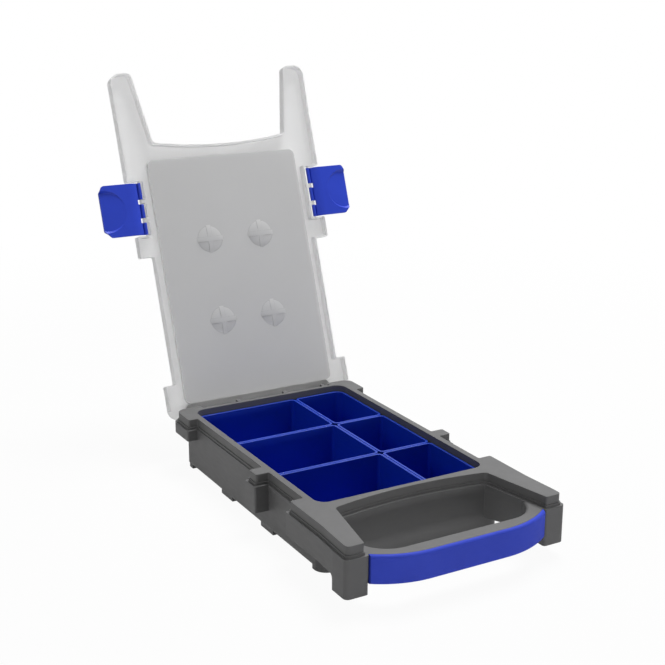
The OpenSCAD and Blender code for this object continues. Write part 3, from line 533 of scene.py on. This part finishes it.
def endTree(tree, geometry, finish):
    realize = tree.nodes.new("GeometryNodeRealizeInstances")
    tree.links.new(geometry, realize.inputs[0])
    paint = tree.nodes.new("GeometryNodeSetMaterial")
    tree.links.new(realize.outputs[0], paint.inputs["Geometry"])
    tree.links.new(finish, paint.inputs["Material"])
    tree.links.new(paint.outputs[0], tree.nodes.new("NodeGroupOutput").inputs[0])


def vectorNode(tree, *values):
    node = tree.nodes.new("ShaderNodeCombineXYZ")
    for slot, value in enumerate(values):
        if isinstance(value, (int, float)):
            node.inputs[slot].default_value = value
        else:
            tree.links.new(value, node.inputs[slot])
    return node.outputs[0]


# Runs geometry through a node with one more input, such as a position or a distance
def passNode(tree, kind, geometry, name, value):
    node = tree.nodes.new("GeometryNode" + kind)
    tree.links.new(geometry, node.inputs["Geometry"])
    tree.links.new(value, node.inputs[name])
    return node.outputs[0]


# How many whole groups of a size a count holds, and what is left over
def splitCount(tree, count, size):
    groups = mathNode(tree, "FLOOR", mathNode(tree, "DIVIDE", mathNode(tree, "ADD", count, 0.5), size))
    return groups, mathNode(tree, "SUBTRACT", count, mathNode(tree, "MULTIPLY", groups, size))


# A grid of points, and the column and row of each
def pointGrid(tree, columns, rows):
    grid = tree.nodes.new("GeometryNodeMeshGrid")
    tree.links.new(columns, grid.inputs["Vertices X"])
    tree.links.new(rows, grid.inputs["Vertices Y"])
    return grid.outputs[0], *splitCount(tree, tree.nodes.new("GeometryNodeInputIndex").outputs[0], rows)


# Runs a tree on an empty piece with its named inputs set
def growPiece(name, tree, values):
    piece = bpy.data.objects.new(name, bpy.data.meshes.new(name))
    scene.collection.objects.link(piece)
    modifier = piece.modifiers.new("grow", "NODES")
    modifier.node_group = tree
    for item in tree.interface.items_tree:
        if item.item_type == "SOCKET" and item.in_out == "INPUT" and item.name in values:
            modifier[item.identifier] = values[item.name]
    settle(piece)
    return piece


bins = {
    "lip": 1.2 * mm, "lipHeight": 2.2 * mm, "wall": 1.4 * mm, "floorRadius": 4.0 * mm, "lipRound": 0.45 * mm,
    "corner": 6.0 * mm, "wellCorner": 11.2 * mm,
    "arcSteps": 6, "cornerSteps": 12, "lipSteps": 3, "underLipSteps": 2, "seam": 0.002 * mm,
    "wellCorners": {"bin_wide_front": 2, "bin_narrow_front": 3, "bin_narrow_rear": 0, "bin_wide_rear": 1},
}


# Points along an arc, from one angle to another in degrees
def arcPoints(centre, radius, start, end, steps):
    angles = [math.radians(start + (end - start) * i / steps) for i in range(steps + 1)]
    return [(centre[0] + radius * math.cos(a), centre[1] + radius * math.sin(a)) for a in angles]


# Wall section of a bin as (inset from the lip's outline, height), from the underside over the lip to
# the floor
def binProfile(low, high, form):
    lip, wall, r, e, steps = (form[key] for key in ("lip", "wall", "floorRadius", "lipRound", "arcSteps"))
    inner = lip + wall
    under = high - form["lipHeight"]
    points = arcPoints((lip + r, low + r), r, 270, 180, steps)
    points += [(lip, under)]
    points += arcPoints((e, under + e), e, 270, 180, form["underLipSteps"])
    points += arcPoints((e, high - e), e, 180, 90, form["lipSteps"])
    points += arcPoints((inner - e, high - e), e, 90, 0, form["lipSteps"])
    points += arcPoints((lip + r, low + r), r - wall, 180, 270, steps)
    mesh = bpy.data.meshes.new("binProfile")
    edges = [(i, i + 1) for i in range(len(points) - 1)]
    mesh.from_pydata([(inset, 0, z) for inset, z in points], edges, [])
    profile = bpy.data.objects.new("binProfile", mesh)
    scene.collection.objects.link(profile)
    return profile


# A grid whose columns run round the rounded plan and whose rows follow the wall section
def makeBinTree(form):
    sockets = [(name, "Float") for name in ("Width", "Length", "MiddleX", "MiddleY")]
    sockets += [("CornerSteps", "Int"), ("Profile", "Object"), ("Finish", "Material")]
    sockets += [("Corner%d" % i, "Float") for i in range(4)]
    tree, given = startTree("binTree", sockets)
    nodes, links = tree.nodes, tree.links
    section = nodes.new("GeometryNodeObjectInfo")
    links.new(given["Profile"], section.inputs["Object"])
    size = nodes.new("GeometryNodeAttributeDomainSize")
    links.new(section.outputs["Geometry"], size.inputs[0])
    perCorner = mathNode(tree, "ADD", given["CornerSteps"], 1)
    columns = mathNode(tree, "MULTIPLY_ADD", perCorner, 4, 1)
    grid, column, level = pointGrid(tree, columns, size.outputs["Point Count"])
    turn, step = splitCount(tree, column, perCorner)
    quarter = math.pi / 2
    start = mathNode(tree, "MULTIPLY", turn, quarter)
    share = mathNode(tree, "DIVIDE", step, given["CornerSteps"])
    angle = mathNode(tree, "MULTIPLY_ADD", share, quarter, start)
    choice = nodes.new("GeometryNodeIndexSwitch")
    choice.data_type = "FLOAT"
    while len(choice.index_switch_items) < 4:
        choice.index_switch_items.new()
    links.new(mathNode(tree, "MODULO", turn, 4), choice.inputs["Index"])
    for i in range(4):
        links.new(given["Corner%d" % i], choice.inputs[str(i)])
    radius = choice.outputs[0]
    sample = nodes.new("GeometryNodeSampleIndex")
    sample.data_type = "FLOAT_VECTOR"
    links.new(section.outputs["Geometry"], sample.inputs["Geometry"])
    links.new(nodes.new("GeometryNodeInputPosition").outputs[0], sample.inputs["Value"])
    links.new(level, sample.inputs["Index"])
    split = nodes.new("ShaderNodeSeparateXYZ")
    links.new(sample.outputs[0], split.inputs[0])
    reach = mathNode(tree, "SUBTRACT", radius, split.outputs["X"])
    diagonal = mathNode(tree, "ADD", start, quarter / 2)
    place = []
    for operation, middle, full in (("COSINE", "MiddleX", "Width"), ("SINE", "MiddleY", "Length")):
        sign = mathNode(tree, "MULTIPLY", mathNode(tree, operation, diagonal), math.sqrt(2))
        straight = mathNode(tree, "SUBTRACT", mathNode(tree, "DIVIDE", given[full], 2), radius)
        arc = mathNode(tree, "MULTIPLY_ADD", mathNode(tree, operation, angle), reach, given[middle])
        place.append(mathNode(tree, "MULTIPLY_ADD", sign, straight, arc))
    shell = passNode(tree, "SetPosition", grid, "Position", vectorNode(tree, *place, split.outputs["Z"]))
    merge = nodes.new("GeometryNodeMergeByDistance")
    merge.inputs["Distance"].default_value = form["seam"]
    links.new(shell, merge.inputs["Geometry"])
    endTree(tree, merge.outputs[0], given["Finish"])
    return tree


def makeBins(form):
    tree = makeBinTree(form)
    for node in (name for name in frame["nodes"] if name.startswith("bin_")):
        corners = [Vector(c) for c in frame["nodes"][node].bound_box]
        low = Vector([min(c[i] for c in corners) for i in range(3)])
        high = Vector([max(c[i] for c in corners) for i in range(3)])
        profile = binProfile(low.z, high.z, form)
        outer = form["wellCorners"].get(node)           # the corner that lies in a corner of the well
        radii = [form["wellCorner"] if i == outer else form["corner"] for i in range(4)]
        values = {"Width": high.x - low.x, "Length": high.y - low.y, "MiddleX": (low.x + high.x) / 2,
                  "MiddleY": (low.y + high.y) / 2, "CornerSteps": form["cornerSteps"], "Profile": profile,
                  "Finish": binBlue}
        values.update({"Corner%d" % i: radius for i, radius in enumerate(radii)})
        piece = growPiece(node.replace("bin_", "") + "Bin", tree, values)
        bpy.data.objects.remove(profile)
        turnOutward(piece)
        shadeByAngle(piece)
        piece.modifiers.new("flatter", "WEIGHTED_NORMAL").keep_sharp = True
        settle(piece)
        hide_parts(node)
        attach(piece, node)
    print("bins grown:", len(piece.data.polygons), "faces each")


makeBins(bins)

bosses = {
    "Radius": 15.5 * mm, "Depth": 1.15 * mm, "Power": 2.8,              # cap; the power rounds its rim
    "Rings": 12, "Spokes": 64, "Seat": 0.02 * mm,                       # its rim lies this deep in the panel
    "CrossWidth": 5.6 * mm, "Reach": 16.4 * mm, "Rise": 0.3 * mm,       # cross, which rises above the cap
    "LongPoints": 31, "ShortPoints": 16, "WidePoints": 5, "Root": 0.2 * mm,
    "Across": 32.49 * mm, "Near": -67.43 * mm, "Far": 27.59 * mm,       # middles of the four, lid closed
    "Face": 58.5 * mm, "Seam": 0.001 * mm,
}


# Depth of a cap at a distance from its middle
def bossDepth(tree, given, radius):
    share = mathNode(tree, "POWER", mathNode(tree, "DIVIDE", radius, given["Radius"]), given["Power"])
    return mathNode(tree, "MULTIPLY", mathNode(tree, "SUBTRACT", 1, share), given["Depth"])


# A grid wound into a round cap, its columns the spokes and its rows the rings
def bossCap(tree, given):
    columns, rows = (mathNode(tree, "ADD", given[name], 1) for name in ("Spokes", "Rings"))
    grid, column, row = pointGrid(tree, columns, rows)
    angle = mathNode(tree, "MULTIPLY", mathNode(tree, "DIVIDE", column, given["Spokes"]), 2 * math.pi)
    radius = mathNode(tree, "MULTIPLY", mathNode(tree, "DIVIDE", row, given["Rings"]), given["Radius"])
    place = [mathNode(tree, "MULTIPLY", mathNode(tree, way, angle), radius) for way in ("COSINE", "SINE")]
    place.append(mathNode(tree, "SUBTRACT", given["Seat"], bossDepth(tree, given, radius)))
    return passNode(tree, "SetPosition", grid, "Position", vectorNode(tree, *place))


# A long bar and two short ones; their lower faces follow the cap, their upper ones lie in the panel
def bossCross(tree, given):
    nodes, links = tree.nodes, tree.links
    blank = 1 * mm                                      # height of a bar before its faces are placed
    arms = nodes.new("GeometryNodeJoinGeometry")
    halfWidth = mathNode(tree, "DIVIDE", given["CrossWidth"], 2)
    short = mathNode(tree, "SUBTRACT", given["Reach"], halfWidth)
    middle = mathNode(tree, "ADD", halfWidth, mathNode(tree, "DIVIDE", short, 2))
    for side in (0, -1, 1):
        bar = nodes.new("GeometryNodeMeshCube")
        links.new(given["WidePoints" if side else "LongPoints"], bar.inputs["Vertices X"])
        links.new(given["ShortPoints" if side else "WidePoints"], bar.inputs["Vertices Y"])
        length = short if side else given["CrossWidth"]
        across = given["CrossWidth"] if side else mathNode(tree, "MULTIPLY", given["Reach"], 2)
        links.new(vectorNode(tree, across, length, blank), bar.inputs["Size"])
        shift = vectorNode(tree, 0, mathNode(tree, "MULTIPLY", middle, side), 0)
        links.new(passNode(tree, "Transform", bar.outputs[0], "Translation", shift), arms.inputs[0])
    here = nodes.new("ShaderNodeSeparateXYZ")
    links.new(nodes.new("GeometryNodeInputPosition").outputs[0], here.inputs[0])
    squares = [mathNode(tree, "POWER", mathNode(tree, "ABSOLUTE", here.outputs[i]), 2) for i in (0, 1)]
    radius = mathNode(tree, "SQRT", mathNode(tree, "ADD", *squares))
    crown = mathNode(tree, "ADD", bossDepth(tree, given, radius), given["Rise"])
    drop = mathNode(tree, "SUBTRACT", mathNode(tree, "MULTIPLY", crown, -1), given["Root"])
    under = mathNode(tree, "LESS_THAN", here.outputs[2], 0)
    height = mathNode(tree, "MULTIPLY_ADD", under, drop, given["Root"])
    place = vectorNode(tree, here.outputs[0], here.outputs[1], height)
    return passNode(tree, "SetPosition", arms.outputs[0], "Position", place)


# Four shallow caps, each with a raised cross, under the panel; built with the lid closed
def makeBossTree(form):
    sockets = [(name, "Int" if isinstance(value, int) else "Float") for name, value in form.items()]
    tree, given = startTree("bossTree", sockets + [("Finish", "Material")])
    nodes, links = tree.nodes, tree.links
    both = nodes.new("GeometryNodeJoinGeometry")
    for half in (bossCross(tree, given), bossCap(tree, given)):
        links.new(half, both.inputs[0])
    boss = passNode(tree, "MergeByDistance", both.outputs[0], "Distance", given["Seam"])
    places = nodes.new("GeometryNodeMeshGrid")
    for axis in ("X", "Y"):
        places.inputs["Vertices " + axis].default_value = 2
    links.new(mathNode(tree, "MULTIPLY", given["Across"], 2), places.inputs["Size X"])
    links.new(mathNode(tree, "SUBTRACT", given["Far"], given["Near"]), places.inputs["Size Y"])
    centre = mathNode(tree, "DIVIDE", mathNode(tree, "ADD", given["Far"], given["Near"]), 2)
    lift = vectorNode(tree, 0, centre, given["Face"])
    spread = nodes.new("GeometryNodeInstanceOnPoints")
    links.new(passNode(tree, "Transform", places.outputs[0], "Translation", lift), spread.inputs["Points"])
    links.new(boss, spread.inputs["Instance"])
    endTree(tree, spread.outputs[0], given["Finish"])
    return tree


def makeBosses(form, crease=35):
    piece = growPiece("lidBosses", makeBossTree(form), {**form, "Finish": bossClear})
    turnOutward(piece)
    for vert in piece.data.vertices:
        vert.co = openPlace(vert.co)
    shadeByAngle(piece, crease)
    attach(piece, "lid")
    print("bosses grown:", len(piece.data.polygons), "faces")


makeBosses(bosses)
